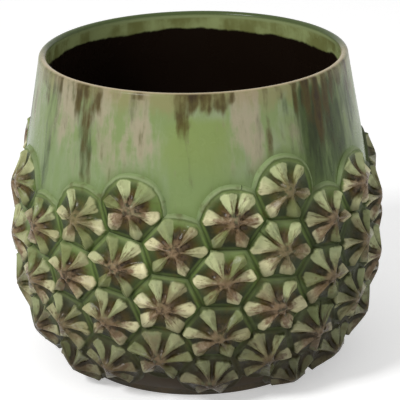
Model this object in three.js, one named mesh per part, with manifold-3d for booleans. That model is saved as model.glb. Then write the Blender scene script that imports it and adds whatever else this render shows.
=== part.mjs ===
// Glazed ceramic cachepot: a round-bellied pot on a foot ring, with a tall smooth collar and
// six-petalled rosettes over the rest of the wall, set in the crossing spirals of a pineapple's skin.
// Its pieces are the ones a potter joins with slip: wall, floor slab, foot ring and pressed rosettes.
// Millimetres, Z up. The origin is the middle of the foot's circle, and the front faces -Y.
import * as THREE from "three";
import { mergeVertices } from "three/addons/utils/BufferGeometryUtils.js";
import Module from "manifold-3d";

const wasm = await Module();
wasm.setup();

// The pot's body
const HEIGHT = 150.5; // table to lip
const MOUTH_RADIUS = 72.5; // outside of the lip
const BELLY_RADIUS = 84; // outside of the wall at its widest, without the rosettes
const BELLY_HEIGHT = 65; // where the wall is widest
const BELLY_EASE = 23; // how far the wall stays near its widest, above the belly
const COLLAR_LENGTH = 28; // the nearly straight stretch under the lip
const COLLAR_FLARE = 4.6; // how much wider the wall is at the foot of that stretch
const WALL = 4.5; // thickness of the wall and the floor
const LIP_THICKNESS = 3.6; // thickness just under the rounded lip
const LIP_TAPER = 24; // length over which the wall thins to the lip
const SEAT_GAP = 0.3; // slip between one piece and the next

// The foot
const FOOT_RADIUS = 60; // outside of the foot ring
const FOOT_WIDTH = 7; // of the ring, from outside to inside
const FOOT_HEIGHT = 5; // table to the bottom of the wall and of the floor slab
const FOOT_BEVEL = 1; // on the ring's resting edges
const FLOOR_OVERHANG = 3; // how far the floor slab reaches past the foot ring
const BELLY_TUCK = 2; // how far inside the foot's outer edge the belly's curve would end

// The rosettes: their places
const SPIRALS = [8, 13]; // spirals of rosettes that wind one way and the other
const ROSETTES = 77;
const COLUMN_LEAN = 3; // degrees that each rosette is turned from the one below it
const FIRST_AZIMUTH = 30.3; // where the spiral starts, in degrees to the right of the front
const FIRST_DROP = 46.2; // from the lip to the spiral's start, along the wall
const BARE_BAND = 2; // wall left bare above its bottom edge, where the lowest rosettes are trimmed off
const LAST_REACH = 7.2; // from the last rosette's middle down to that trimmed edge
// A hand-set rosette strays a little from the even spiral, up or down the wall and round it, in slow waves.
// Reaches are in millimetres and in degrees round the pot; a wave's step is from one rosette to the next.
const STRAY_DOWN = { reach: 1.6, step: 34, start: -62 };
const STRAY_ROUND = { reach: 1.1, step: 48, start: -69 };
const SINGLE_ROSETTES = 36; // the rest are joined to the ones above and below them in their columns

// The rosettes: their shape
const TIP_HEIGHT = 7; // tip over the wall
const PETAL_TOP = 0.21; // half the width of a petal's flat top, as a share of one side of the cell
const PETAL_BASE = 0.31; // half the width of a petal where its steep sides end
const GROOVE_WIDTH = 1; // between one rosette and the next
const JOIN_DEPTH = 0.3; // how far joined rosettes run into each other
const BACK_HOLLOW = 0.7; // how much further the back's middle stands off the wall than its edge
// Round the tip and at the petals' ends: share of the way to the cell's edge, and heights over the wall.
const WAIST = { share: 0.35, petal: 5, pocket: 2.4 };
const PETAL_END = { share: 0.84, petal: 3.3, pocket: 0.9 };

const FULL_TURN = 360; // degrees
const FACETS_AROUND = 52;
const OUTLINE_STEPS = 14;
const LIP_STEPS = 6;

const GLAZE_GREEN = new THREE.MeshStandardMaterial({ color: 0x7d8f57, roughness: 0.3, metalness: 0 });
const ROSETTE_GLAZE = new THREE.MeshStandardMaterial({ color: 0x7a7648, roughness: 0.3, metalness: 0 });
const GLAZE_BROWN = new THREE.MeshStandardMaterial({ color: 0x2a2018, roughness: 0.4, metalness: 0 });
const BARE_CLAY = new THREE.MeshStandardMaterial({ color: 0x6b5540, roughness: 0.85, metalness: 0 });

// The wall's outside as one curve of (radius, height), from the floor slab's edge up to the lip's rounding.
const floorRadius = FOOT_RADIUS + FLOOR_OVERHANG;
const jointRadius = floorRadius + SEAT_GAP;
const lipRadius = LIP_THICKNESS / 2;
const lipLean = Math.atan2(COLLAR_FLARE, COLLAR_LENGTH);
const lipFoot = HEIGHT - lipRadius * (1 - Math.sin(lipLean)); // where the lip's rounding starts outside
const tuckRadius = FOOT_RADIUS - BELLY_TUCK;
const bellyWidth = BELLY_RADIUS - tuckRadius;
const bellyTurn = Math.acos((jointRadius - tuckRadius) / bellyWidth);

const outline = new THREE.CurvePath();
outline.add(
  new THREE.EllipseCurve(
    tuckRadius,
    BELLY_HEIGHT,
    bellyWidth,
    (BELLY_HEIGHT - FOOT_HEIGHT) / Math.sin(bellyTurn),
    -bellyTurn,
    0,
  ),
);
outline.add(
  new THREE.CubicBezierCurve(
    new THREE.Vector2(BELLY_RADIUS, BELLY_HEIGHT),
    new THREE.Vector2(BELLY_RADIUS, BELLY_HEIGHT + BELLY_EASE),
    new THREE.Vector2(MOUTH_RADIUS + COLLAR_FLARE, lipFoot - COLLAR_LENGTH),
    new THREE.Vector2(MOUTH_RADIUS, lipFoot),
  ),
);
const outlineLength = outline.getLength();

// A point of the wall's outside, with the outward direction, at a distance below the lip along the wall.
function outlineAt(drop) {
  const along = THREE.MathUtils.clamp(1 - drop / outlineLength, 0, 1);
  const point = outline.getPoint(along);
  const tangent = outline.getTangent(along);
  return { point, outward: new THREE.Vector2(tangent.y, -tangent.x) };
}

// A point lifted off the wall's outside, at an azimuth in degrees to the right of the front.
function overWall(azimuth, drop, lift) {
  const { point, outward } = outlineAt(drop);
  const radius = point.x + outward.x * lift;
  const turn = THREE.MathUtils.degToRad(azimuth);
  return new THREE.Vector3(radius * Math.sin(turn), -radius * Math.cos(turn), point.y + outward.y * lift);
}

// The inside follows the outside at the wall's thickness, which thins towards the lip.
function insideAt(drop) {
  const { point, outward } = outlineAt(drop);
  const thinning = THREE.MathUtils.smoothstep(drop, 0, LIP_TAPER);
  return point.addScaledVector(outward, -THREE.MathUtils.lerp(LIP_THICKNESS, WALL, thinning));
}

const drops = Array.from({ length: OUTLINE_STEPS + 1 }, (_, i) => (outlineLength * i) / OUTLINE_STEPS);
const floorTop = FOOT_HEIGHT + WALL;
const inside = drops.map(insideAt).filter((p) => p.x > jointRadius && p.y > floorTop);
const footTop = FOOT_HEIGHT - SEAT_GAP;

// A closed outline of (radius, height) points turned about the upright axis.
function turned(points) {
  return new THREE.LatheGeometry(points, FACETS_AROUND).rotateX(Math.PI / 2);
}

function wallShape() {
  const outside = drops.map((drop) => outlineAt(drop).point).reverse();
  const lipMiddle = outside.at(-1).clone().add(inside[0]).divideScalar(2);
  const lip = Array.from({ length: LIP_STEPS - 1 }, (_, i) =>
    outside.at(-1).clone().rotateAround(lipMiddle, (Math.PI * (i + 1)) / LIP_STEPS),
  );
  const seam = new THREE.Vector2(jointRadius, floorTop);
  return turned([...outside, ...lip, ...inside, seam, outside[0]]);
}

function floorShape() {
  return turned([
    new THREE.Vector2(0, FOOT_HEIGHT),
    new THREE.Vector2(floorRadius, FOOT_HEIGHT),
    new THREE.Vector2(floorRadius, floorTop),
    new THREE.Vector2(0, floorTop),
  ]);
}

function footShape() {
  const innerRadius = FOOT_RADIUS - FOOT_WIDTH;
  return turned([
    new THREE.Vector2(innerRadius + FOOT_BEVEL, 0),
    new THREE.Vector2(FOOT_RADIUS - FOOT_BEVEL, 0),
    new THREE.Vector2(FOOT_RADIUS, FOOT_BEVEL),
    new THREE.Vector2(FOOT_RADIUS, footTop),
    new THREE.Vector2(innerRadius, footTop),
    new THREE.Vector2(innerRadius, FOOT_BEVEL),
    new THREE.Vector2(innerRadius + FOOT_BEVEL, 0),
  ]);
}

// Rosette number k stands k steps round and down one long spiral. Its place is its azimuth and its drop.
const columns = SPIRALS[0] + SPIRALS[1];
const stepAzimuth = (FULL_TURN * SPIRALS[0] + COLUMN_LEAN) / columns;
const lastDrop = outlineLength - BARE_BAND - LAST_REACH;
const stepDrop = (lastDrop - FIRST_DROP) / (ROSETTES - 1);
const stray = ({ reach, step, start }, k) => reach * Math.sin(THREE.MathUtils.degToRad(k * step + start));

function placeOf(k) {
  const azimuth = FIRST_AZIMUTH - k * stepAzimuth + stray(STRAY_ROUND, k);
  return new THREE.Vector2(azimuth, FIRST_DROP + k * stepDrop + stray(STRAY_DOWN, k));
}

// A cell's six corners, from the rosette's own place. Each is the middle of it and two that touch it.
// The six that touch it are counted anticlockwise from the upper right.
const touching = [-SPIRALS[0], -columns, -SPIRALS[1], SPIRALS[0], columns, SPIRALS[1]];
const SIDE_ABOVE = 0;
const SIDE_BELOW = 3;

function cornersOf(k) {
  const near = touching.map((steps) => {
    const away = placeOf(k + steps).sub(placeOf(k));
    away.x = THREE.MathUtils.euclideanModulo(away.x + FULL_TURN / 2, FULL_TURN) - FULL_TURN / 2;
    return away;
  });
  const trimmed = outlineLength - BARE_BAND - placeOf(k).y;
  return near.map((away, i) => {
    const corner = away.clone().add(near[(i + 1) % 6]).divideScalar(3);
    corner.y = Math.min(corner.y, trimmed);
    return corner;
  });
}

// A point on a cell's edge, counted in sides from the first corner.
function cellEdge(corners, side) {
  const turn = THREE.MathUtils.euclideanModulo(side, 6);
  return corners[Math.floor(turn)].clone().lerp(corners[(Math.floor(turn) + 1) % 6], turn % 1);
}

// Each petal points to a corner of the cell, with a sunk pocket between it and the next one.
// Sides of the cell at which the waist has a petal's ridge and a pocket's middle, and at which
// a petal's end has its two feet and the two edges of its flat top.
const WAIST_SIDES = touching.flatMap((_, i) => [i, i + 0.5]);
const END_SIDES = touching.flatMap((_, i) => [
  i - PETAL_BASE,
  i - PETAL_TOP,
  i + PETAL_TOP,
  i + PETAL_BASE,
]);
const END_LIFTS = [PETAL_END.pocket, PETAL_END.petal, PETAL_END.petal, PETAL_END.pocket];

// One pressed rosette as a closed body: tip, waist, petals' ends, edge and hollowed back.
function rosetteSolid(k, joinedSides) {
  const { x: azimuth, y: drop } = placeOf(k);
  const corners = cornersOf(k);
  const middle = overWall(azimuth, drop, 0);
  const at = (edge, share, lift) => overWall(azimuth + edge.x * share, drop + edge.y * share, lift);

  function ring(sides, share, lifts) {
    return sides.map((side, i) => {
      const edge = cellEdge(corners, side);
      const length = at(edge, 1, 0).distanceTo(middle);
      const joined = joinedSides.includes(Math.floor(THREE.MathUtils.euclideanModulo(side, 6)));
      const reach = 1 + (joined ? JOIN_DEPTH : -GROOVE_WIDTH / 2) / length;
      return at(edge, share * reach, lifts[i % lifts.length]);
    });
  }

  const vertices = [
    overWall(azimuth, drop, TIP_HEIGHT),
    overWall(azimuth, drop, SEAT_GAP + BACK_HOLLOW),
    ...ring(WAIST_SIDES, WAIST.share, [WAIST.petal, WAIST.pocket]),
    ...ring(END_SIDES, PETAL_END.share, END_LIFTS),
    ...ring(END_SIDES, 1, [SEAT_GAP]),
  ];
  const TIP = 0;
  const BACK = 1;
  const waist = (i) => BACK + 1 + THREE.MathUtils.euclideanModulo(i, WAIST_SIDES.length);
  const end = (i) => BACK + 1 + WAIST_SIDES.length + (i % END_SIDES.length);
  const rim = (i) => end(i) + END_SIDES.length;

  const faces = WAIST_SIDES.map((_, i) => [TIP, waist(i), waist(i + 1)]);
  touching.forEach((_, i) => {
    const [ridge, pocket, pocketBefore] = [waist(2 * i), waist(2 * i + 1), waist(2 * i - 1)];
    const [foot, top, farTop, farFoot, nextFoot] = [0, 1, 2, 3, 4].map((step) => end(4 * i + step));
    faces.push([ridge, pocketBefore, foot], [ridge, foot, top], [ridge, top, farTop]);
    faces.push([ridge, farTop, farFoot], [ridge, farFoot, pocket], [pocket, farFoot, nextFoot]);
  });
  END_SIDES.forEach((_, i) => {
    faces.push([end(i), rim(i), rim(i + 1)], [end(i), rim(i + 1), end(i + 1)], [BACK, rim(i + 1), rim(i)]);
  });
  return new wasm.Manifold(
    new wasm.Mesh({
      numProp: 3,
      vertProperties: new Float32Array(vertices.flatMap((v) => v.toArray())),
      triVerts: new Uint32Array(faces.flat()),
    }),
  );
}

function geometryOf(solid) {
  const mesh = solid.getMesh();
  const geometry = new THREE.BufferGeometry();
  geometry.setAttribute("position", new THREE.BufferAttribute(mesh.vertProperties, 3));
  geometry.setIndex(new THREE.BufferAttribute(mesh.triVerts, 1));
  return mergeVertices(geometry);
}

// The joined rosettes that start at one of the first column's places and go down to the last one.
function stripSolid(first) {
  let solid = null;
  for (let k = first; k < ROSETTES; k += columns) {
    const joinedSides = [];
    if (k > first) joinedSides.push(SIDE_ABOVE);
    if (k + columns < ROSETTES) joinedSides.push(SIDE_BELOW);
    const rosette = rosetteSolid(k, joinedSides);
    solid = solid ? solid.add(rosette) : rosette;
  }
  return solid;
}

const cachepot = new THREE.Group();

function addPiece(name, geometry, material) {
  const mesh = new THREE.Mesh(geometry, material);
  mesh.name = name;
  cachepot.add(mesh);
}

const twoDigits = (number) => String(number).padStart(2, "0");

addPiece("pot_wall", wallShape(), GLAZE_GREEN);
addPiece("floor_slab", floorShape(), GLAZE_BROWN);
addPiece("foot_ring", footShape(), BARE_CLAY);
for (let k = 0; k < SINGLE_ROSETTES; k++) {
  addPiece(`rosette_${twoDigits(k + 1)}`, geometryOf(rosetteSolid(k, [])), ROSETTE_GLAZE);
}
for (let k = SINGLE_ROSETTES; k < SINGLE_ROSETTES + columns; k++) {
  addPiece(`rosette_strip_${twoDigits(k + 1 - SINGLE_ROSETTES)}`, geometryOf(stripSolid(k)), ROSETTE_GLAZE);
}

export default cachepot;
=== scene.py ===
"""The looks of a glazed ceramic cachepot: its wall, floor, foot and rosettes under a reactive glaze."""

import math
from types import SimpleNamespace

import bpy
import numpy as np
from mathutils import Matrix, Vector


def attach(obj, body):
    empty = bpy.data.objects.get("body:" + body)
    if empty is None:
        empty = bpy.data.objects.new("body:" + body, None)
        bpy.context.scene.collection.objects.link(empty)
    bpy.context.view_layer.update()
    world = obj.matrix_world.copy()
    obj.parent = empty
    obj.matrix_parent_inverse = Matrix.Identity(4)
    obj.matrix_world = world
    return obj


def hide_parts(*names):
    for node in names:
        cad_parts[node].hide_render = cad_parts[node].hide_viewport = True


MM = 0.001
FULL_TURN = 360  # degrees
HALF_TURN = 180

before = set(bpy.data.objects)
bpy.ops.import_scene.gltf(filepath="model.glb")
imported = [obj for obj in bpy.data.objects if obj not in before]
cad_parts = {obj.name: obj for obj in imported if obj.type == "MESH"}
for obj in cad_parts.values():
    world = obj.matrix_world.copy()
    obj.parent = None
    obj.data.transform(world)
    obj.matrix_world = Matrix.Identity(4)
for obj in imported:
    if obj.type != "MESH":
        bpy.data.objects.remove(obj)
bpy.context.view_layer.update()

# The wall's outline, as in the CAD model, in millimetres
HEIGHT = 150.5
MOUTH_RADIUS = 72.5
BELLY_RADIUS = 84.0
BELLY_HEIGHT = 65.0
BELLY_EASE = 23.0
COLLAR_LENGTH = 28.0
COLLAR_FLARE = 4.6
WALL = 4.5
LIP_THICKNESS = 3.6
LIP_TAPER = 24.0
FOOT_RADIUS = 60.0
FOOT_WIDTH = 7.0
FOOT_HEIGHT = 5.0
FLOOR_OVERHANG = 3.0
BELLY_TUCK = 2.0
SEAT_GAP = 0.3

OUTLINE_STEPS = 600
SLOPE_STEP = 0.4  # to either side along the outline, to find its outward direction

joint_radius = FOOT_RADIUS + FLOOR_OVERHANG + SEAT_GAP
floor_top = FOOT_HEIGHT + WALL


def turned_by(azimuth):
    """Degrees from -180 to 180."""
    return (azimuth + HALF_TURN) % FULL_TURN - HALF_TURN


def smooth(lo, hi, x):
    """From nought at lo to one at hi, with soft ends."""
    t = np.clip((np.asarray(x, float) - lo) / (hi - lo), 0, 1)
    return t * t * (3 - 2 * t)


def cubic(start, leave, arrive, stop, t):
    """Points at t of the cubic curve from start to stop."""
    return (1 - t) ** 3 * start + 3 * t * (1 - t) ** 2 * leave + 3 * t * t * (1 - t) * arrive + t**3 * stop


def outline_points():
    """Points (radius, height) of the wall's outside, from the edge of the floor up to the lip."""
    tuck = FOOT_RADIUS - BELLY_TUCK
    wide = BELLY_RADIUS - tuck
    turn = math.acos((joint_radius - tuck) / wide)
    tall = (BELLY_HEIGHT - FOOT_HEIGHT) / math.sin(turn)
    a = np.linspace(-turn, 0, OUTLINE_STEPS)
    belly = np.stack([tuck + wide * np.cos(a), BELLY_HEIGHT + tall * np.sin(a)], 1)
    lean = math.atan2(COLLAR_FLARE, COLLAR_LENGTH)
    end = HEIGHT - LIP_THICKNESS / 2 * (1 - math.sin(lean))
    collar = cubic(
        np.array([BELLY_RADIUS, BELLY_HEIGHT]),
        np.array([BELLY_RADIUS, BELLY_HEIGHT + BELLY_EASE]),
        np.array([MOUTH_RADIUS + COLLAR_FLARE, end - COLLAR_LENGTH]),
        np.array([MOUTH_RADIUS, end]),
        np.linspace(0, 1, OUTLINE_STEPS)[1:, None],
    )
    return np.vstack([belly, collar])


outline = outline_points()
along = np.concatenate([[0], np.cumsum(np.hypot(*np.diff(outline, axis=0).T))])
wall_length = along[-1]


def outline_from_floor(length):
    """Radius and height of the outline at a length along it from the floor's edge."""
    s = np.clip(length, 0, wall_length)
    return np.interp(s, along, outline[:, 0]), np.interp(s, along, outline[:, 1])


def outline_at(drop):
    """Radius, height, outward direction (in radius, in height) at a distance below the lip along the wall."""
    s = np.clip(wall_length - np.asarray(drop, float), 0, wall_length)
    r, z = outline_from_floor(s)
    r_below, z_below = outline_from_floor(s - SLOPE_STEP)
    r_above, z_above = outline_from_floor(s + SLOPE_STEP)
    dr = r_above - r_below
    dz = z_above - z_below
    n = np.hypot(dr, dz)
    return r, z, dz / n, -dr / n


def over_wall(azimuth, drop, lift):
    """Points in metres, lifted off the wall's outside; azimuth in degrees to the right of the front."""
    r, z, nr, nz = outline_at(drop)
    a = np.radians(azimuth)
    radius = r + nr * lift
    return np.stack([radius * np.sin(a), -radius * np.cos(a), z + nz * lift], -1) * MM


# The rosettes' places, as in the CAD model; a stray has its reach and, in degrees, its step and start
SPIRALS = (8, 13)
ROSETTES = 77
SINGLE_ROSETTES = 36
COLUMN_LEAN = 3.0
FIRST_AZIMUTH = 30.3
FIRST_DROP = 46.2
BARE_BAND = 2.0
LAST_REACH = 7.2
STRAY_DOWN = (1.6, 34, -62)
STRAY_ROUND = (1.1, 48, -69)
TIP_HEIGHT = 7.0

columns = sum(SPIRALS)
step_azimuth = (FULL_TURN * SPIRALS[0] + COLUMN_LEAN) / columns
step_drop = (wall_length - BARE_BAND - LAST_REACH - FIRST_DROP) / (ROSETTES - 1)
touching = [-SPIRALS[0], -columns, -SPIRALS[1], SPIRALS[0], columns, SPIRALS[1]]


def stray(wave, k):
    """How far a rosette lies off its even place."""
    reach, step, start = wave
    return reach * math.sin(math.radians(k * step + start))


def place_of(k):
    """Azimuth and drop of a rosette's tip."""
    return np.array([
        FIRST_AZIMUTH - k * step_azimuth + stray(STRAY_ROUND, k),
        FIRST_DROP + k * step_drop + stray(STRAY_DOWN, k),
    ])


def corners_of(k):
    """The six corners of a rosette's cell, as offsets from its tip."""
    near = []
    for steps in touching:
        away = place_of(k + steps) - place_of(k)
        away[0] = turned_by(away[0])
        near.append(away)
    trimmed = wall_length - BARE_BAND - place_of(k)[1]
    corners = np.array([(near[i] + near[(i + 1) % 6]) / 3 for i in range(6)])
    corners[:, 1] = np.minimum(corners[:, 1], trimmed)
    return corners


def degree_length(drop):
    """Millimetres round the wall to one degree."""
    return math.radians(1) * outline_at(drop)[0]


# How much a cell's border is drawn towards a circle, at its corners and at its sides; more where it is free
EVEN_REACH = 0.95
CORNER_PULL = 0.28
FREE_CORNER_PULL = 0.57
FREE_SIDE_PULL = 0.75


def borders_of(k, sides):
    """Offsets to a rosette's rounded border, how freely it borders the bare wall, and its cell's reach."""
    corners = corners_of(k)
    scale = np.array([degree_length(place_of(k)[1]), 1.0])
    at = np.asarray(sides) % 6
    low = np.floor(at).astype(int)
    part = at - low
    edge = corners[low % 6] * (1 - part[:, None]) + corners[(low + 1) % 6] * part[:, None]
    alone = np.array([not 0 <= k + touching[(i + 1) % 6] < ROSETTES for i in range(6)], float)
    own = alone[low % 6]
    nearest = np.where(part < 0.5, alone[(low - 1) % 6], alone[(low + 1) % 6])
    to_corner = 0.5 - np.minimum(part, 1 - part)
    free = own + (nearest - own) * to_corner**2 * 2
    length = np.hypot(*(edge * scale).T)
    even = np.hypot(*(corners * scale).T).mean() * EVEN_REACH
    pull = np.where(length > even, CORNER_PULL + FREE_CORNER_PULL * free, FREE_SIDE_PULL * free)
    rounded = edge * (1 + pull * (even / length - 1))[:, None]
    return rounded, free, length


def mesh_object(name, points, faces, attributes=None, sharp=False):
    mesh = bpy.data.meshes.new(name)
    mesh.from_pydata(np.asarray(points).tolist(), [], faces)
    mesh.update()
    for key, values in (attributes or {}).items():
        layer = mesh.attributes.new(key, "FLOAT", "POINT")
        layer.data.foreach_set("value", np.asarray(values, np.float32))
    if not sharp:
        mesh.shade_smooth()
    piece = bpy.data.objects.new(name, mesh)
    bpy.context.scene.collection.objects.link(piece)
    return piece


def grid_faces(rows, cols, first=0):
    """Quads of a grid of rows x cols vertices, closed round its columns."""
    r = np.arange(rows - 1)[:, None]
    c = np.arange(cols)[None, :]
    n = (c + 1) % cols
    quads = np.stack([r * cols + c, r * cols + n, (r + 1) * cols + n, (r + 1) * cols + c], -1)
    return (quads.reshape(-1, 4) + first).tolist()


# Places on a rosette: round it they are counted in sides, outwards in shares of the way to the border
PETAL_EDGES = (0.0, 0.06, 0.12, 0.17, 0.215, 0.25, 0.285, 0.32, 0.365)  # to either side of a ridge
PETAL_TOP = 0.26  # half the width of a petal on top
PETAL_FOOT = 0.385  # and at its foot
FAN_START = 0.62  # of that width, near the middle
FAN_GROWTH = 0.4  # what it gains outwards
SPREADING = (0.1, 0.6)  # where it gains it
PETAL_END = 1.03  # of a petal's own length
END_ROUNDING = 0.6
END_ROUND_TO = 0.35
END_FALL = 0.08  # how far past its end a petal slopes down
SIDE_PLACE = 0.22
SIDE_FALL_TO = 0.3
KNOB = (0.14, 0.32)  # where the knob in the middle ends
SHARES = (
    0.03, 0.06, 0.1, 0.15, 0.2, 0.27, 0.34, 0.42, 0.5, 0.58, 0.66,
    0.72, 0.76, 0.79, 0.82, 0.85, 0.88, 0.91, 0.94, 0.97, 1.0,
)

# Heights on a rosette over the wall in millimetres, and the shares and sides that go with them
PETAL_PEAK = 3.7  # of a petal's ridge from RIDGE_REACH outwards
RIDGE_REACH = 0.8
RIDGE_CURVE = 1.1
TIP_SINK = 0.25  # below the CAD model's tip
DIMPLE = 0.6  # in the middle of the knob
DIMPLE_REACH = 0.08
SIDE_FALL = 1.7  # at SIDE_PLACE away from a petal's ridge
PETAL_BED = 0.4  # what a pocket rises by under the petals
BED_SIDES = (0.3, 0.5)
BED_END = (0.8, 0.95)
FREE_CREST = 0.85  # of the border where it meets the bare wall
CREST = (0.88, 1.0)
POCKET_SHARES = (0, 0.1, 0.2, 0.35, 0.5, 0.7, 0.85, 0.93, 1.0)
POCKET_LIFTS = (6.2, 4.8, 3.5, 2.1, 1.3, 0.8, 0.55, 0.5, 0.55)

# The skirt past the border: how far out and how high, in millimetres
FREE_SKIRT = ((0.4, 0.95), (0.9, 0.6), (1.4, 0.2), (1.9, -0.15))
INNER_SKIRT = ((0.3, 0.42), (0.7, 0.22), (1.1, 0.05), (1.5, -0.5))

# Values stored on a rosette, as they are at its middle point
MIDDLE_VALUES = {
    "petal": 1.0,  # one on a petal, nought between petals
    "share": 0.0,  # of the way to the border
    "above": 0.0,  # from one, straight up the wall, to minus one, straight down
    "free": 0.0,  # one where the border meets the bare wall
    "bright": 0.5,  # differs from petal to petal
    "murk": 0.5,  # differs from pocket to pocket
    "east": 0.0,  # with north, the way round the rosette
    "north": 0.0,
}

rng = np.random.default_rng(20)


def uneven_shape():
    """How one rosette's petals differ from even ones, and how its glaze has run."""
    return {
        "shift": rng.uniform(-0.11, 0.11, 6),
        "wide": rng.uniform(0.74, 1.2, 6),
        "tall": rng.uniform(0.8, 1.12, 6),
        "long": rng.uniform(0.8, 0.92, 6),
        "bright": rng.uniform(0, 1, 6),
        "murk": rng.uniform(0, 1, 6),
        "tone": rng.uniform(0, 1),
        "turn": rng.uniform(-0.12, 0.12),
        "tip": rng.uniform(-0.4, 0.15),
    }


shapes = [uneven_shape() for _ in range(ROSETTES)]


def places_round(shape):
    """Places round a rosette: in sides, as offsets from their petal's ridge, their petal and their pocket."""
    spread = [-e for e in PETAL_EDGES[:0:-1]] + list(PETAL_EDGES)
    sides, offsets, petals, pockets = [], [], [], []
    for i in range(6):
        ridge = i + shape["turn"] + shape["shift"][i]
        sides += [ridge + e * shape["wide"][i] for e in spread]
        sides.append(i + shape["turn"] + 0.5 + (shape["shift"][i] + shape["shift"][(i + 1) % 6]) / 2)
        offsets += [abs(e) for e in spread] + [0.5]
        petals += [i] * (len(spread) + 1)
        pockets += [(i - 1) % 6 if e < 0 else i for e in spread] + [i]
    return np.array(sides), np.array(offsets), np.array(petals), np.array(pockets)


def rosette_ring(t, tip, offsets, peaks, ends, free):
    """Heights and petal shares of the ring at the share t of the way to the border."""
    spreading = smooth(*SPREADING, t)
    fan = FAN_START + FAN_GROWTH * spreading
    petal = (1 - smooth(PETAL_TOP * fan, PETAL_FOOT * fan, offsets)) * (1 - smooth(0.0, END_FALL, t - ends))
    petal = np.maximum(petal, 1 - smooth(*KNOB, t))
    ridge = peaks + (tip - peaks) * np.clip(1 - t / RIDGE_REACH, 0, 1) ** RIDGE_CURVE
    ridge = ridge - DIMPLE * np.exp(-((t / DIMPLE_REACH) ** 2))
    ridge = ridge - SIDE_FALL * np.minimum(offsets, SIDE_FALL_TO) / SIDE_PLACE * spreading
    pocket = np.interp(t, POCKET_SHARES, POCKET_LIFTS) + free * FREE_CREST * smooth(*CREST, t)
    pocket = pocket + PETAL_BED * (1 - smooth(*BED_SIDES, offsets)) * (1 - smooth(*BED_END, t))
    return pocket + petal * np.maximum(ridge - pocket, 0), petal


def skirt_rings(free, length, crest):
    """Rings past the border, down to the wall or into the groove between two rosettes."""
    for (free_reach, free_lift), (inner_reach, inner_lift) in zip(FREE_SKIRT, INNER_SKIRT):
        reach = free * free_reach + (1 - free) * inner_reach
        lift = free * free_lift * crest / FREE_CREST + (1 - free) * inner_lift
        yield 1 + reach / length, lift, 0 * length


def rosette_grid(k):
    """Points and attributes of one glazed rosette: a middle point and rings out to its skirt."""
    azimuth, drop = place_of(k)
    shape = shapes[k]
    sides, offsets, petals, pockets = places_round(shape)
    edge, free, length = borders_of(k, sides)
    tip = TIP_HEIGHT - TIP_SINK + shape["tip"]
    peaks = PETAL_PEAK * shape["tall"][petals]
    rounding = END_ROUNDING * np.minimum(offsets, END_ROUND_TO) ** 2
    ends = shape["long"][petals] * (PETAL_END - rounding)
    rings = []
    for t in SHARES:
        lift, petal = rosette_ring(t, tip, offsets, peaks, ends, free)
        rings.append((t + 0 * length, lift, petal))
    rings += skirt_rings(free, length, crest=rings[-1][1])

    round_about = np.radians(FULL_TURN / 6 * sides)
    same_outwards = {
        "above": -edge[:, 1] / length,
        "free": free,
        "bright": shape["bright"][petals],
        "murk": shape["murk"][pockets],
        "east": np.cos(round_about),
        "north": np.sin(round_about),
    }
    points = [over_wall(azimuth, drop, tip - DIMPLE)]
    values = {key: [value] for key, value in MIDDLE_VALUES.items()}
    for t, lift, petal in rings:
        points.extend(over_wall(azimuth + edge[:, 0] * t, drop + edge[:, 1] * t, lift))
        values["petal"].extend(petal)
        values["share"].extend(t)
        for key, each in same_outwards.items():
            values[key].extend(each)
    for key, value in (("tone", shape["tone"]), ("drop", drop), ("shade", shade_at(azimuth, drop))):
        values[key] = [value] * len(points)
    around = len(offsets)
    faces = [[0, 1 + (c + 1) % around, 1 + c] for c in range(around)]
    faces += grid_faces(len(rings), around, first=1)
    return np.array(points), faces, values


SHADE_TURN = 10  # degrees to the right of the front where the painted shade is neither dark nor light
SHADE_DROPS = (40, 80)


def shade_at(azimuth, drop):
    """Painted shade, for light that falls from the left: most at the lower right, least at the lower left."""
    to_right = math.sin(math.radians(turned_by(azimuth - SHADE_TURN)))
    return float(0.5 + 0.5 * to_right * smooth(*SHADE_DROPS, drop))


def rosette_piece(name, node, numbers, material):
    points, faces, values = [], [], {}
    for k in numbers:
        p, f, a = rosette_grid(k)
        base = sum(len(x) for x in points)
        points.append(p)
        faces += [[v + base for v in face] for face in f]
        for key, each in a.items():
            values.setdefault(key, []).extend(each)
    piece = mesh_object(name, np.vstack(points), faces, values)
    piece.data.materials.append(material)
    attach(piece, "root")
    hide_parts(node)
    return piece


def srgb(r, g, b):
    """A colour written as on the screen, 0 to 255, for a shader socket."""
    def linear(c):
        c /= 255
        return c / 12.92 if c <= 0.04045 else ((c + 0.055) / 1.055) ** 2.4
    return (linear(r), linear(g), linear(b), 1)


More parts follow.
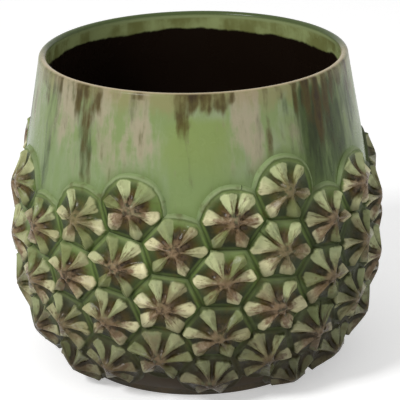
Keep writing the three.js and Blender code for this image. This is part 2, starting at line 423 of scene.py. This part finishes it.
class Tree:
    """Adds nodes to one material and links them."""

    def __init__(self, name):
        self.material = bpy.data.materials.new(name)
        self.material.use_nodes = True
        self.nodes = self.material.node_tree.nodes
        self.links = self.material.node_tree.links
        self.nodes.clear()
        self.bsdf = self.nodes.new("ShaderNodeBsdfPrincipled")
        out = self.nodes.new("ShaderNodeOutputMaterial")
        self.links.new(self.bsdf.outputs[0], out.inputs[0])

    def put(self, socket, value):
        if isinstance(value, bpy.types.NodeSocket):
            self.links.new(value, socket)
        else:
            socket.default_value = value

    def attributes(self, *names):
        """The named values that are stored in the mesh."""
        values = SimpleNamespace()
        for name in names:
            node = self.nodes.new("ShaderNodeAttribute")
            node.attribute_name = name
            setattr(values, name, node.outputs["Fac"])
        return values

    def math(self, operation, a, b):
        node = self.nodes.new("ShaderNodeMath")
        node.operation = operation
        self.put(node.inputs[0], a)
        self.put(node.inputs[1], b)
        return node.outputs[0]

    def times(self, a, b):
        return self.math("MULTIPLY", a, b)

    def plus(self, total, *others):
        for other in others:
            total = self.math("ADD", total, other)
        return total

    def ramp(self, value, lo, hi, to_lo=0.0, to_hi=1.0):
        """From to_lo where the value is lo to to_hi where it is hi, with soft ends."""
        node = self.nodes.new("ShaderNodeMapRange")
        node.interpolation_type = "SMOOTHSTEP"
        self.put(node.inputs["Value"], value)
        for key, number in (("From Min", lo), ("From Max", hi), ("To Min", to_lo), ("To Max", to_hi)):
            node.inputs[key].default_value = number
        return node.outputs[0]

    def mix(self, share, a, b):
        node = self.nodes.new("ShaderNodeMix")
        node.data_type = "RGBA"
        self.put(node.inputs["Factor"], share)
        self.put(node.inputs["A"], a)
        self.put(node.inputs["B"], b)
        return node.outputs["Result"]

    def lay(self, under, over, value, lo, hi, strength=1.0):
        """One colour laid over another: not at all where the value is lo, at full strength where it is hi."""
        return self.mix(self.ramp(value, lo, hi, 0.0, strength), under, over)

    def spread(self, value, reach):
        """A value that lies round a half, moved to lie round nought and widened."""
        return self.times(self.math("SUBTRACT", value, 0.5), reach)

    def noise(self, scale, detail, stretch=(1, 1, 1), rough=0.55, where=None):
        mapping = self.nodes.new("ShaderNodeMapping")
        mapping.inputs["Scale"].default_value = stretch
        if where is None:
            where = self.nodes.new("ShaderNodeTexCoord").outputs["Object"]
        self.links.new(where, mapping.inputs["Vector"])
        node = self.nodes.new("ShaderNodeTexNoise")
        node.inputs["Scale"].default_value = scale
        node.inputs["Detail"].default_value = detail
        node.inputs["Roughness"].default_value = rough
        self.links.new(mapping.outputs[0], node.inputs["Vector"])
        return node.outputs["Fac"]

    def surface(self, colour, roughness):
        self.put(self.bsdf.inputs["Base Color"], colour)
        self.put(self.bsdf.inputs["Roughness"], roughness)

    def bump(self, height, distance, strength):
        node = self.nodes.new("ShaderNodeBump")
        node.inputs["Distance"].default_value = distance
        node.inputs["Strength"].default_value = strength
        self.put(node.inputs["Height"], height)
        self.links.new(node.outputs[0], self.bsdf.inputs["Normal"])


# The glaze's greens, some also used for the painted light and shade on the rosettes
GREY_GREEN = srgb(140, 150, 118)
PALE_GREEN = srgb(142, 156, 114)
FRESH_GREEN = srgb(124, 140, 82)
COLLAR_GREEN = srgb(122, 138, 88)
LOW_GREEN = srgb(116, 136, 88)
MID_GREEN = srgb(94, 112, 56)
LIP_GREEN = srgb(74, 88, 48)
DEEP_GREEN = srgb(52, 68, 26)
# Also the painted shade along a rosette's lower border.
NIGHT_GREEN = srgb(34, 40, 15)
POOL_GREEN = srgb(28, 34, 22)
# The green of the painted shade to the right of the pot
SHADE_GREEN = srgb(30, 33, 9)

# Its creams and browns
CREAM = srgb(214, 208, 164)
# Also the painted light along a rosette's upper border.
CREAM_GREEN = srgb(164, 178, 126)
# Partly a painted highlight on the lip's front.
LIP_TAN = srgb(186, 170, 136)
STREAK_CREAM = srgb(156, 147, 122)
PINK_THIN = srgb(160, 142, 118)
TAN = srgb(166, 146, 108)
RIM_TAN = srgb(142, 126, 90)
KNOB_BROWN = srgb(132, 110, 84)
BROWN_THIN = srgb(124, 102, 76)
HEART_BROWN = srgb(104, 84, 60)
RUN_BROWN = srgb(98, 80, 50)
OLIVE_BROWN = srgb(74, 62, 22)
DARK_BROWN = srgb(46, 33, 19)
# LOW_BROWN, FOOT_BROWN and SKIRT_BROWN darken the lowest glaze: partly browner glaze, partly painted shade
# under the belly.
LOW_BROWN = srgb(38, 33, 17)
FOOT_BROWN = srgb(44, 35, 20)
SKIRT_BROWN = srgb(52, 42, 28)

# The glaze inside, and the bare clay
# A painted highlight along the lip's inner edge.
BAND_EDGE = srgb(150, 162, 112)
BAND_PALE = srgb(158, 170, 114)
BAND_GREEN = srgb(124, 128, 76)
INSIDE_BROWN = srgb(26, 18, 12)
INSIDE_RUST = srgb(42, 31, 20)
CLAY_PALE = srgb(92, 78, 58)
CLAY_OLIVE = srgb(74, 62, 42)
CLAY_DARK = srgb(48, 43, 30)

ROSETTE_GLOSS = 0.14
WALL_GLOSS = 0.17
INSIDE_GLOSS = 0.1


def rosette_values(t):
    """What a rosette's colours hang on: values stored in the mesh, and noises."""
    v = t.attributes(
        "petal", "share", "above", "free", "bright", "murk", "tone", "drop", "shade", "east", "north",
    )
    v.blotch = t.noise(scale=130, detail=4)
    v.fine = t.noise(scale=420, detail=5)
    v.broad = t.noise(scale=26, detail=3)
    v.ragged = t.plus(t.spread(v.blotch, 0.7), t.spread(v.fine, 0.4))
    place = t.nodes.new("ShaderNodeCombineXYZ")
    t.put(place.inputs["X"], v.east)
    t.put(place.inputs["Y"], v.north)
    t.put(place.inputs["Z"], t.plus(t.times(v.share, 0.3), t.times(v.tone, 40.0)))
    v.runs = t.noise(scale=5.5, detail=4, rough=0.6, where=place.outputs[0])
    v.outward = t.plus(v.share, t.times(v.ragged, 0.8))
    v.heart = t.lay(DARK_BROWN, HEART_BROWN, t.plus(v.blotch, t.spread(v.fine, 0.8)), 0.38, 0.6)
    return v


def petal_colour(t, v):
    """Cream over thin brown, greener upwards, with brown runs that fan out from the middle."""
    worn = t.plus(v.outward, t.spread(v.bright, 0.3), t.times(v.above, 0.1))
    upward = t.plus(v.above, t.spread(v.broad, 2.2), v.ragged)
    leaf = t.lay(BROWN_THIN, PINK_THIN, v.fine, 0.42, 0.62)
    leaf = t.lay(leaf, CREAM, t.plus(worn, t.spread(v.runs, 0.9)), 0.42, 0.68)
    leaf = t.lay(leaf, CREAM_GREEN, upward, -0.1, 0.9, 0.7)
    leaf = t.lay(leaf, TAN, t.plus(v.broad, t.spread(v.bright, 0.3)), 0.5, 0.72, 0.5)
    leaf = t.lay(leaf, MID_GREEN, v.bright, 0.66, 0.95, 0.7)
    leaf = t.lay(leaf, BROWN_THIN, t.plus(v.bright, t.spread(v.blotch, 0.6)), 0.22, 0.0, 0.6)
    leaf = t.lay(leaf, BROWN_THIN, worn, 0.46, 0.2, 0.5)
    streaked = t.plus(v.runs, t.spread(v.fine, 0.4), t.spread(v.share, -0.16))
    return t.lay(leaf, RUN_BROWN, streaked, 0.52, 0.68, 0.75)


def pocket_colour(t, v):
    """Pooled green and brown between the petals, with painted shade in the lower pockets and painted light in
    the upper ones, and the groove or the pale crest round the rosette.
    """
    # Upper pockets lighter and lower ones darker: painted light and shade, over random pooling.
    pooling_and_painted_shade = t.plus(t.times(v.above, 0.7), t.spread(v.murk, -1.6), v.ragged)
    pocket = t.lay(NIGHT_GREEN, MID_GREEN, pooling_and_painted_shade, -0.4, 1.2)
    pocket = t.lay(pocket, OLIVE_BROWN, v.outward, 0.84, 0.5)
    pocket = t.lay(pocket, v.heart, t.plus(v.outward, t.spread(v.runs, 0.8)), 0.62, 0.28)
    pooled = t.ramp(t.plus(v.broad, t.spread(v.tone, 0.3)), 0.5, 0.64, 0.0, 0.8)
    pocket = t.mix(t.times(pooled, t.ramp(v.share, 0.4, 0.7)), pocket, POOL_GREEN)
    pocket = t.lay(pocket, MID_GREEN, v.share, 0.84, 0.93)
    pocket = t.lay(pocket, DEEP_GREEN, v.share, 0.92, 0.99, 0.9)
    crest = t.ramp(t.plus(v.share, t.times(v.ragged, 0.15)), 0.97, 1.02, 0.0, 0.75)
    pocket = t.mix(t.times(crest, v.free), pocket, PALE_GREEN)
    return t.mix(t.times(t.ramp(v.share, 1.03, 1.1), v.free), pocket, LOW_GREEN)


def darkened(t, v, laid, colour):
    """Painted shade along a rosette's lower border and to the right, painted light along its upper border,
    and darker towards the foot, partly painted shade and partly browner glaze; the shade to the right and
    towards the foot is stronger between petals.
    """
    # Painted shade along the lower border, where a raised rosette would shade its own foot.
    under = t.times(t.ramp(v.above, 0.1, -0.9, 0.0, 0.65), t.ramp(v.share, 0.6, 0.97))
    colour = t.mix(under, colour, NIGHT_GREEN)
    # Painted light along the upper border.
    over = t.times(t.ramp(v.above, 0.1, 0.9, 0.0, 0.22), t.ramp(v.share, 0.7, 0.9))
    colour = t.mix(over, colour, CREAM_GREEN)
    colour = t.lay(colour, MID_GREEN, t.plus(v.tone, t.spread(v.broad, 2.0)), 0.55, 1.1, 0.3)
    # Painted shade to the right, away from the light, stronger between petals than on them.
    shaded = t.ramp(t.plus(v.shade, t.spread(v.broad, 1.5)), 0.45, 1.05)
    colour = t.mix(t.times(shaded, t.ramp(laid, 0.0, 1.0, 0.88, 0.26)), colour, SHADE_GREEN)
    # Darker and browner towards the foot, more so between petals: partly painted shade under the belly,
    # partly browner glaze.
    low = t.times(t.ramp(v.drop, 76.0, 134.0), t.ramp(laid, 0.0, 1.0, 0.84, 0.46))
    colour = t.mix(low, colour, LOW_BROWN)
    # Browner still near the foot, sooner on a rosette's lower side: partly painted shade, partly browner
    # glaze.
    return t.lay(colour, FOOT_BROWN, t.plus(v.drop, t.times(v.above, -7.0)), 114.0, 142.0, 0.6)


def mottled(t, v, laid, colour):
    """Small darker and paler spots, the pale ones mostly on the petals."""
    spots = t.noise(scale=240, detail=4)
    mottle = t.plus(t.spread(spots, 1.0), t.spread(v.blotch, 1.2), t.spread(v.fine, 0.6))
    colour = t.lay(colour, OLIVE_BROWN, mottle, 0.04, 0.5, 0.5)
    pale = t.times(t.ramp(mottle, -0.04, -0.5), t.ramp(laid, 0.0, 1.0, 0.1, 0.35))
    return t.mix(pale, colour, PALE_GREEN)


def rosette_material():
    t = Tree("rosette_reactive_glaze")
    v = rosette_values(t)
    laid = t.ramp(t.plus(v.petal, t.times(v.ragged, 1.3), t.spread(v.runs, -1.2)), 0.25, 1.0)
    colour = t.mix(laid, pocket_colour(t, v), petal_colour(t, v))
    knob = t.lay(v.heart, KNOB_BROWN, v.fine, 0.36, 0.6)
    colour = t.lay(colour, knob, t.plus(v.outward, t.spread(v.runs, 0.5)), 0.4, 0.18, 0.85)
    colour = mottled(t, v, laid, darkened(t, v, laid, colour))
    rough = t.plus(t.ramp(v.blotch, 0.3, 0.7, 0.18, 0.34), t.ramp(v.share, 0.84, 0.97, 0.0, 0.3))
    t.surface(colour, rough)
    t.bsdf.inputs["Specular IOR Level"].default_value = ROSETTE_GLOSS
    t.bump(t.plus(t.times(v.blotch, 0.7), t.times(v.fine, 0.3)), distance=0.0012, strength=0.6)
    return t.material


def wall_values(t):
    """What the wall's colours hang on: values stored in the mesh, and noises stretched down the wall."""
    v = t.attributes("drop", "cream", "fresh", "deep", "brown", "inside", "front", "beside")
    broad = t.noise(scale=34, detail=3, stretch=(1, 1, 0.16))
    thread = t.noise(scale=330, detail=4, stretch=(1, 1, 0.1))
    v.streak = t.noise(scale=95, detail=4, stretch=(1, 1, 0.13))
    v.blotch = t.noise(scale=50, detail=4)
    v.fine = t.noise(scale=300, detail=5, stretch=(1, 1, 0.6))
    v.streaky = t.plus(t.spread(broad, 1.2), t.spread(v.streak, 2.0), t.spread(thread, 1.2))
    v.ragged = t.plus(v.streaky, t.spread(v.blotch, 1.5), t.spread(v.fine, 0.8))
    return v


def outside_colour(t, v):
    """Greens with cream, dark green and brown runs, dark between the rosettes, and darker and browner towards
    the foot, partly painted shade.
    """
    green = t.lay(COLLAR_GREEN, GREY_GREEN, v.ragged, -0.35, 0.45)
    fresh = t.plus(v.fresh, t.spread(v.blotch, 1.2), t.spread(v.streak, 1.2))
    green = t.lay(green, FRESH_GREEN, fresh, 0.25, 1.0)
    green = t.lay(green, STREAK_CREAM, t.plus(v.cream, v.ragged), 0.25, 1.0, 0.95)
    green = t.lay(green, MID_GREEN, v.streaky, 0.05, 0.8, 0.5)
    green = t.lay(green, LOW_GREEN, t.plus(v.drop, t.times(v.blotch, 12.0)), 28.0, 48.0, 0.6)
    green = t.lay(green, RIM_TAN, t.plus(v.drop, t.times(v.ragged, 9.0)), 8.0, -1.0, 0.5)
    deep = t.plus(v.deep, v.streaky)
    green = t.lay(green, DEEP_GREEN, deep, 0.25, 0.9, 0.85)
    green = t.lay(green, NIGHT_GREEN, deep, 0.8, 1.3, 0.8)
    brown = t.plus(v.brown, v.ragged)
    green = t.lay(green, OLIVE_BROWN, brown, 0.3, 1.1, 0.9)
    green = t.lay(green, DARK_BROWN, brown, 0.9, 1.5, 0.8)
    green = t.lay(green, MID_GREEN, v.beside, 0.0, 1.0, 0.45)
    green = t.lay(green, DEEP_GREEN, v.drop, 62.0, 84.0)
    # Darker and browner towards the foot: partly browner glaze, partly painted shade under the belly.
    return t.lay(green, SKIRT_BROWN, v.drop, 115.0, 140.0)


def well_colour(t, v):
    """A green band under the lip inside, with a painted highlight along the lip's inner edge at its top, a
    wavy lower edge, and dark brown glaze below it.
    """
    band = t.lay(BAND_GREEN, BAND_PALE, t.plus(v.blotch, t.spread(v.streak, 0.8)), 0.36, 0.62)
    # Paler along the top of the band: a painted highlight on the lip's inner edge.
    band = t.lay(band, BAND_EDGE, v.inside, 3.0, 1.6)
    wave = t.noise(scale=24, detail=2)
    depth = t.plus(v.inside, t.spread(wave, 10.0), t.spread(v.fine, 1.6))
    return t.lay(band, INSIDE_BROWN, depth, 7.6, 9.0)


def wall_material():
    t = Tree("wall_reactive_glaze")
    v = wall_values(t)
    # Tan at the front of the lip and green at the back: partly glaze breaking to tan on the rim, partly a
    # painted highlight on the lip's front.
    lip = t.mix(v.front, LIP_GREEN, LIP_TAN)
    on_lip = t.times(t.ramp(v.inside, 0.1, 0.5), t.ramp(v.drop, 0.5, 0.0))
    colour = t.mix(on_lip, outside_colour(t, v), lip)
    colour = t.lay(colour, well_colour(t, v), v.inside, 1.05, 1.35)
    rough = t.plus(t.ramp(v.blotch, 0.3, 0.7, 0.2, 0.34), t.ramp(v.drop, 105.0, 135.0, 0.0, 0.45))
    t.surface(colour, rough)
    t.bsdf.inputs["Specular IOR Level"].default_value = WALL_GLOSS
    t.bump(t.plus(t.times(v.streak, 0.6), t.times(v.blotch, 0.6)), distance=0.0014, strength=0.35)
    return t.material


def dark_glaze_material():
    t = Tree("inside_brown_glaze")
    blotch = t.noise(scale=60, detail=4)
    t.surface(t.lay(INSIDE_BROWN, INSIDE_RUST, blotch, 0.3, 0.7), t.ramp(blotch, 0.3, 0.7, 0.45, 0.65))
    t.bsdf.inputs["Specular IOR Level"].default_value = INSIDE_GLOSS
    t.bump(t.noise(scale=400, detail=5), distance=0.0004, strength=0.3)
    return t.material


def clay_material():
    t = Tree("foot_clay")
    grit = t.noise(scale=900, detail=6)
    blotch = t.noise(scale=70, detail=4)
    colour = t.lay(CLAY_OLIVE, CLAY_DARK, blotch, 0.35, 0.65)
    t.surface(t.lay(colour, CLAY_PALE, grit, 0.5, 0.75), t.ramp(grit, 0.3, 0.7, 0.55, 0.85))
    t.bump(grit, distance=0.0005, strength=0.6)
    return t.material


# Streaks down the wall: middle and half width in degrees, start and stop in millimetres, strength
CREAM_STREAKS = (
    (-52, 8, -9, 34, 0.75), (-25, 14, -9, 44, 0.7), (-17, 5, -9, 52, 0.4), (18.5, 6, -9, 40, 0.9),
    (-72, 6, -9, 30, 0.4), (88, 6, -9, 44, 0.6), (140, 10, -9, 42, 0.7), (-128, 11, -9, 40, 0.7),
    (178, 8, -9, 36, 0.75), (-95, 6, -9, 34, 0.6), (118, 4, -9, 50, 0.6), (-160, 6, -9, 46, 0.5),
)
FRESH_PATCHES = (
    (1, 13, 9, 90, 1.0), (33, 6, 10, 60, 0.5), (105, 12, 10, 80, 0.8),
    (-112, 10, 12, 80, 0.8), (160, 9, 12, 80, 0.8),
)
DEEP_STREAKS = (
    (-41, 5, 2, 40, 0.55), (31, 4, 8, 60, 0.35), (50, 15, 0, 70, 0.8), (43, 5, 0, 80, 1.0),
    (57, 5, 10, 80, 1.0), (-58, 4.5, 0, 62, 0.65), (-66, 4, 16, 60, 0.3), (70, 5, 0, 60, 0.3),
    (112, 8, 4, 50, 0.5), (-155, 7, 6, 48, 0.6), (-108, 5, 4, 46, 0.4), (160, 5, 2, 40, 0.5),
    (-84, 4, 0, 60, 0.4),
)
BROWN_DRIPS = (
    (-10, 3, -9, 8, 0.9), (-5, 3, -9, 13, 1.0), (0, 2.5, -9, 7, 0.9), (4, 2.5, -9, 12, 1.0),
    (9, 3, -9, 8, 0.9), (13, 1.5, -9, 5, 0.8), (-40, 2.5, -9, 26, 0.8), (-36, 2, -9, 12, 0.8),
    (-44, 2, -9, 14, 0.7), (-62, 3.5, -9, 20, 0.75), (-56, 2, -9, 8, 0.6), (-68, 3, -9, 9, 0.7),
    (-28, 2, -9, 4, 0.6), (-20, 3, -9, 3, 0.6), (25.5, 1.4, -9, 34, 0.9), (31, 2, -9, 7, 0.7),
    (37, 2, -9, 11, 0.7), (43, 2, -9, 20, 0.9), (48, 2, -9, 24, 0.9), (53, 2, -9, 17, 0.9),
    (58, 2, -9, 15, 0.8), (63, 3, -9, 12, 0.8), (72, 3, -9, 14, 0.7), (-80, 3, -9, 9, 0.6),
    (96, 4, -9, 9, 0.8), (104, 3, -9, 15, 0.8), (126, 3, -9, 12, 0.8), (133, 3, -9, 20, 0.8),
    (160, 4, -9, 8, 0.8), (168, 3, -9, 13, 0.8), (176, 3, -9, 7, 0.8), (-170, 3, -9, 22, 0.8),
    (-164, 3, -9, 9, 0.8), (-146, 4, -9, 8, 0.8), (-138, 3, -9, 14, 0.8), (-112, 3, -9, 18, 0.8),
    (-106, 3, -9, 10, 0.8),
)
RIPPLES = 240
RIPPLE_STRENGTH = 0.2
STREAK_EDGE = (0.4, 1.6)  # of its half width
STREAK_START = 5  # to either side of its start, in millimetres
STREAK_STOP = (0.55, 1.3)  # of the drop at its stop
RUN_AZIMUTHS = (15, 180)  # to either side of the front
RUN_HALF_WIDTHS = (0.9, 3.4)
RUN_STARTS = (-12, 34)
SHORTEST_RUN = 8
WEAKEST_RUN = 0.3


def fine_runs(count, reach, strength):
    """Narrow runs at uneven places all round, that start near the lip or further down."""
    return tuple(
        (
            rng.choice((-1, 1)) * rng.uniform(*RUN_AZIMUTHS),
            rng.uniform(*RUN_HALF_WIDTHS),
            start,
            start + rng.uniform(SHORTEST_RUN, reach),
            rng.uniform(WEAKEST_RUN, 1) * strength,
        )
        for start in rng.uniform(*RUN_STARTS, count)
    )


CREAM_STREAKS += fine_runs(70, 36, 0.6)
DEEP_STREAKS += fine_runs(70, 40, 0.5)
BROWN_DRIPS += fine_runs(26, 16, 0.5)
ripple = rng.normal(0, 1, RIPPLES)
ripple = (ripple + np.roll(ripple, 1) + 0.5 * np.roll(ripple, 2)) / 1.5


def streak_mask(azimuth, drop, streaks):
    """Soft patches, whose lower ends come down unevenly."""
    ripple_places = np.arange(RIPPLES) * FULL_TURN / RIPPLES
    uneven = 1 + RIPPLE_STRENGTH * np.interp(azimuth % FULL_TURN, ripple_places, ripple, period=FULL_TURN)
    total = np.zeros(np.broadcast(azimuth, drop).shape)
    for middle, half, start, stop, strength in streaks:
        across = 1 - smooth(STREAK_EDGE[0] * half, STREAK_EDGE[1] * half, np.abs(turned_by(azimuth - middle)))
        end = np.maximum(stop * uneven, 1.0)
        begun = smooth(start - STREAK_START, start + STREAK_START, drop)
        ended = smooth(STREAK_STOP[0] * end, STREAK_STOP[1] * end, drop)
        total = np.maximum(total, across * begun * (1 - ended) * strength)
    return total


BESIDE_REACH = 7.0
BORDER_STEP = 0.125  # in sides


def beside_rosettes(azimuth, drop):
    """One at the rosettes' borders, falling to nought a few millimetres outside them."""
    nearest = np.full(azimuth.shape, BESIDE_REACH)
    sides = np.arange(0, 6, BORDER_STEP)
    for k in range(SINGLE_ROSETTES):
        middle = place_of(k)
        scale = degree_length(middle[1])
        edge = borders_of(k, sides)[0]
        angle = np.degrees(np.arctan2(edge[:, 1], edge[:, 0] * scale))
        length = np.hypot(edge[:, 0] * scale, edge[:, 1])
        x = turned_by(azimuth - middle[0]) * scale
        y = drop - middle[1]
        border = np.interp(np.degrees(np.arctan2(y, x)), angle, length, period=FULL_TURN)
        nearest = np.minimum(nearest, np.hypot(x, y) - border)
    return 1 - smooth(0.0, BESIDE_REACH, nearest)


WALL_AROUND = 540
LIP_STEPS = 12
RELIEF_DROP = 64  # the collar above it has closer rows for its streaks
OUTER_ROWS = (28, 84)  # below it and above it
BAND_DEPTH = 20  # inside, the rows down to here are closer for the band's edge
INNER_ROWS = (22, 34)
ROW_STEP = 4  # from the last close row to the first wide one
LIP_DEPTH = 1.2  # what counts as the depth inside at the end of the lip's round
INSIDE_DEPTH = 1.3  # and past it


def wall_profile():
    """Points (radius, height) round the wall's section, with their drops outside and depths inside."""
    drops = np.concatenate([
        np.linspace(wall_length, RELIEF_DROP, OUTER_ROWS[0]),
        np.linspace(RELIEF_DROP - 1, 0, OUTER_ROWS[1]),
    ])
    outer = np.stack(outline_at(drops)[:2], 1)
    inner_drops = np.concatenate([
        np.linspace(0, BAND_DEPTH, INNER_ROWS[0]),
        np.linspace(BAND_DEPTH + ROW_STEP, wall_length, INNER_ROWS[1]),
    ])
    r, z, nr, nz = outline_at(inner_drops)
    thick = LIP_THICKNESS + (WALL - LIP_THICKNESS) * smooth(0, LIP_TAPER, inner_drops)
    inner = np.stack([r - nr * thick, z - nz * thick], 1)
    keep = (inner[:, 0] > joint_radius) & (inner[:, 1] > floor_top)
    inner, inner_drops = inner[keep], inner_drops[keep]
    middle = (outer[-1] + inner[0]) / 2
    spoke = outer[-1] - middle
    turns = np.pi * np.arange(1, LIP_STEPS) / LIP_STEPS
    lip = np.stack([
        middle[0] + spoke[0] * np.cos(turns) - spoke[1] * np.sin(turns),
        middle[1] + spoke[0] * np.sin(turns) + spoke[1] * np.cos(turns),
    ], 1)
    seat = [[joint_radius, floor_top], [joint_radius, FOOT_HEIGHT]]
    at_seat = [wall_length] * len(seat)
    profile = np.vstack([outer, lip, inner, seat])
    down = np.concatenate([drops, np.zeros(len(lip)), inner_drops, at_seat])
    depth = np.concatenate([
        np.zeros(len(outer)),
        np.linspace(0, LIP_DEPTH, len(lip)),
        INSIDE_DEPTH + inner_drops,
        at_seat,
    ])
    return profile, down, depth


def turned_points(profile, around):
    """Points in metres of a profile (radius, height) turned round the pot's axis, starting at the front."""
    a = np.arange(around) * 2 * np.pi / around
    radius, height = profile[:, :1], np.repeat(profile[:, 1:], around, 1)
    return np.stack([radius * np.sin(a), -radius * np.cos(a), height], -1).reshape(-1, 3) * MM


def wall_piece():
    profile, down, depth = wall_profile()
    azimuth, drop = np.meshgrid(np.arange(WALL_AROUND) * FULL_TURN / WALL_AROUND, down)
    values = {
        "drop": drop,
        "inside": np.repeat(depth, WALL_AROUND),
        # One at the front, where the lip carries its painted highlight.
        "front": smooth(-0.25, 0.35, np.cos(np.radians(azimuth))),
        "cream": streak_mask(azimuth, drop, CREAM_STREAKS),
        "fresh": streak_mask(azimuth, drop, FRESH_PATCHES),
        "deep": streak_mask(azimuth, drop, DEEP_STREAKS),
        "brown": streak_mask(azimuth, drop, BROWN_DRIPS),
        "beside": beside_rosettes(azimuth, drop),
    }
    values = {key: each.ravel() for key, each in values.items()}
    faces = grid_faces(len(profile), WALL_AROUND)
    piece = mesh_object("wall_glazed", turned_points(profile, WALL_AROUND), faces, values)
    piece.data.materials.append(wall_material())
    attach(piece, "root")
    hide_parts("pot_wall")
    return piece


def lathe_piece(name, profile, around, material, node):
    points = turned_points(np.array(profile, float), around)
    piece = mesh_object(name, points, grid_faces(len(profile), around))
    piece.data.materials.append(material)
    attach(piece, "root")
    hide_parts(node)
    return piece


AXIS = 0.01  # a radius next to nothing, in millimetres like those below
FLAT_RADII = (20, 40, 52)
DISH_TURN = 60  # degrees
DISH_STEPS = 8
DISH_WIDTH = 12.9
DISH_RISE = 12
FLOOR_EDGE_TOP = 8.0
FLOOR_AROUND = 180


def floor_profile():
    """The floor's section: flat inside, then rising to the wall in a round, and flat below."""
    bend = np.radians(np.linspace(0, DISH_TURN, DISH_STEPS))[1:]
    dish = [(AXIS, floor_top)] + [(r, floor_top) for r in FLAT_RADII]
    dish += [
        (FLAT_RADII[-1] + DISH_WIDTH * math.sin(b), floor_top + DISH_RISE * (1 - math.cos(b))) for b in bend
    ]
    edge = FOOT_RADIUS + FLOOR_OVERHANG
    under = [(edge, FLOOR_EDGE_TOP), (edge, FOOT_HEIGHT), (AXIS, FOOT_HEIGHT)]
    return (dish + under)[::-1]


# The foot ring's edges in millimetres: out from its inner and its outer radius, and up
FOOT_INSIDE = ((0, 4.7), (0, 1.6), (0.4, 0.6), (1.3, 0.05), (2, 0.0))
FOOT_OUTSIDE = ((-2, 0.0), (-1, 0.1), (-0.3, 0.6), (0, 1.5), (0.1, 2.8), (0.5, 3.9), (1.5, 4.7), (3, 5.05))
FOOT_AROUND = 240


def foot_profile():
    inside = [(FOOT_RADIUS - FOOT_WIDTH + out, up) for out, up in FOOT_INSIDE]
    return inside + [(FOOT_RADIUS + out, up) for out, up in FOOT_OUTSIDE]


def rosette_pieces():
    """The upper rosettes one to a piece, the lower ones joined to those in their column."""
    glaze = rosette_material()
    for k in range(SINGLE_ROSETTES):
        rosette_piece(f"rosette_glazed_{k + 1:02d}", f"rosette_{k + 1:02d}", [k], glaze)
    for i in range(columns):
        numbers = list(range(SINGLE_ROSETTES + i, ROSETTES, columns))
        rosette_piece(f"rosette_strip_glazed_{i + 1:02d}", f"rosette_strip_{i + 1:02d}", numbers, glaze)


TABLE_REACH = 3
TABLE_GLOW = 0.4
ROOM_LIGHT = 0.45
WHITE = (1, 1, 1, 1)


def seen_directly(nodes, links):
    """One for rays from the camera, also by way of gloss or glass."""
    path = nodes.new("ShaderNodeLightPath")
    total = path.outputs["Is Camera Ray"]
    for key in ("Is Glossy Ray", "Is Transmission Ray"):
        larger = nodes.new("ShaderNodeMath")
        larger.operation = "MAXIMUM"
        links.new(total, larger.inputs[0])
        links.new(path.outputs[key], larger.inputs[1])
        total = larger.outputs[0]
    return total


def table_material():
    t = Tree("pale_table")
    t.surface(t.mix(t.noise(scale=3, detail=2), srgb(250, 250, 250), srgb(246, 246, 246)), 0.9)
    t.bsdf.inputs["Emission Color"].default_value = WHITE
    t.put(t.bsdf.inputs["Emission Strength"], t.times(seen_directly(t.nodes, t.links), TABLE_GLOW))
    return t.material


def table():
    corners = [(x * TABLE_REACH, y * TABLE_REACH, 0) for x, y in ((-1, -1), (1, -1), (1, 1), (-1, 1))]
    floor = mesh_object("table", corners, [[0, 1, 2, 3]], sharp=True)
    floor.data.materials.append(table_material())


def white_background(nodes, strength):
    node = nodes.new("ShaderNodeBackground")
    node.inputs["Color"].default_value = WHITE
    node.inputs["Strength"].default_value = strength
    return node.outputs[0]


def studio():
    """White where it is seen, and a dimmer white as light on the pot."""
    world = bpy.data.worlds.new("studio")
    bpy.context.scene.world = world
    world.use_nodes = True
    nodes, links = world.node_tree.nodes, world.node_tree.links
    nodes.clear()
    out = nodes.new("ShaderNodeOutputWorld")
    mixer = nodes.new("ShaderNodeMixShader")
    links.new(seen_directly(nodes, links), mixer.inputs[0])
    links.new(white_background(nodes, ROOM_LIGHT), mixer.inputs[1])
    links.new(white_background(nodes, 1.0), mixer.inputs[2])
    links.new(mixer.outputs[0], out.inputs[0])


LAMP_AIM = Vector((0, 0, 0.08))


def lamp(name, place, size, watts):
    light = bpy.data.lights.new(name, "AREA")
    light.shape = "DISK"
    light.size = size
    light.energy = watts
    lamp_object = bpy.data.objects.new(name, light)
    lamp_object.location = place
    lamp_object.rotation_euler = (LAMP_AIM - Vector(place)).to_track_quat("-Z", "Y").to_euler()
    bpy.context.scene.collection.objects.link(lamp_object)


# The camera, fitted to the lip's ellipse and the foot's lowest edge
CAMERA_DISTANCE = 1.0
CAMERA_RISE = math.radians(19.8328)
CAMERA_ROLL = math.radians(-1.1088)
CAMERA_TARGET = Vector((0.0018166, 0, 0.0753222))
FOCAL_LENGTH = 2079.718  # in pixels of a picture as wide as PICTURE_WIDTH
PICTURE_WIDTH = 400
SENSOR_WIDTH = 36


def camera():
    back = Vector((0, -math.cos(CAMERA_RISE), math.sin(CAMERA_RISE)))
    level = Vector((1, 0, 0))
    upright = level.cross(-back)
    right = math.cos(CAMERA_ROLL) * level + math.sin(CAMERA_ROLL) * upright
    up = -math.sin(CAMERA_ROLL) * level + math.cos(CAMERA_ROLL) * upright
    turned = Matrix((right, up, back)).transposed().to_4x4()
    camera_object = bpy.data.objects.new("camera", bpy.data.cameras.new("camera"))
    camera_object.data.sensor_width = SENSOR_WIDTH
    camera_object.data.lens = FOCAL_LENGTH / PICTURE_WIDTH * SENSOR_WIDTH
    camera_object.matrix_world = Matrix.Translation(CAMERA_TARGET + CAMERA_DISTANCE * back) @ turned
    bpy.context.scene.collection.objects.link(camera_object)
    bpy.context.scene.camera = camera_object


wall_piece()
lathe_piece("floor_glazed", floor_profile(), FLOOR_AROUND, dark_glaze_material(), "floor_slab")
lathe_piece("foot_clay", foot_profile(), FOOT_AROUND, clay_material(), "foot_ring")
rosette_pieces()
table()
studio()
lamp("key", place=(-0.8, -0.8, 1.0), size=0.35, watts=12)
lamp("fill", place=(0.9, -0.9, 0.4), size=0.9, watts=2)
camera()
bpy.context.scene.view_settings.view_transform = "Standard"
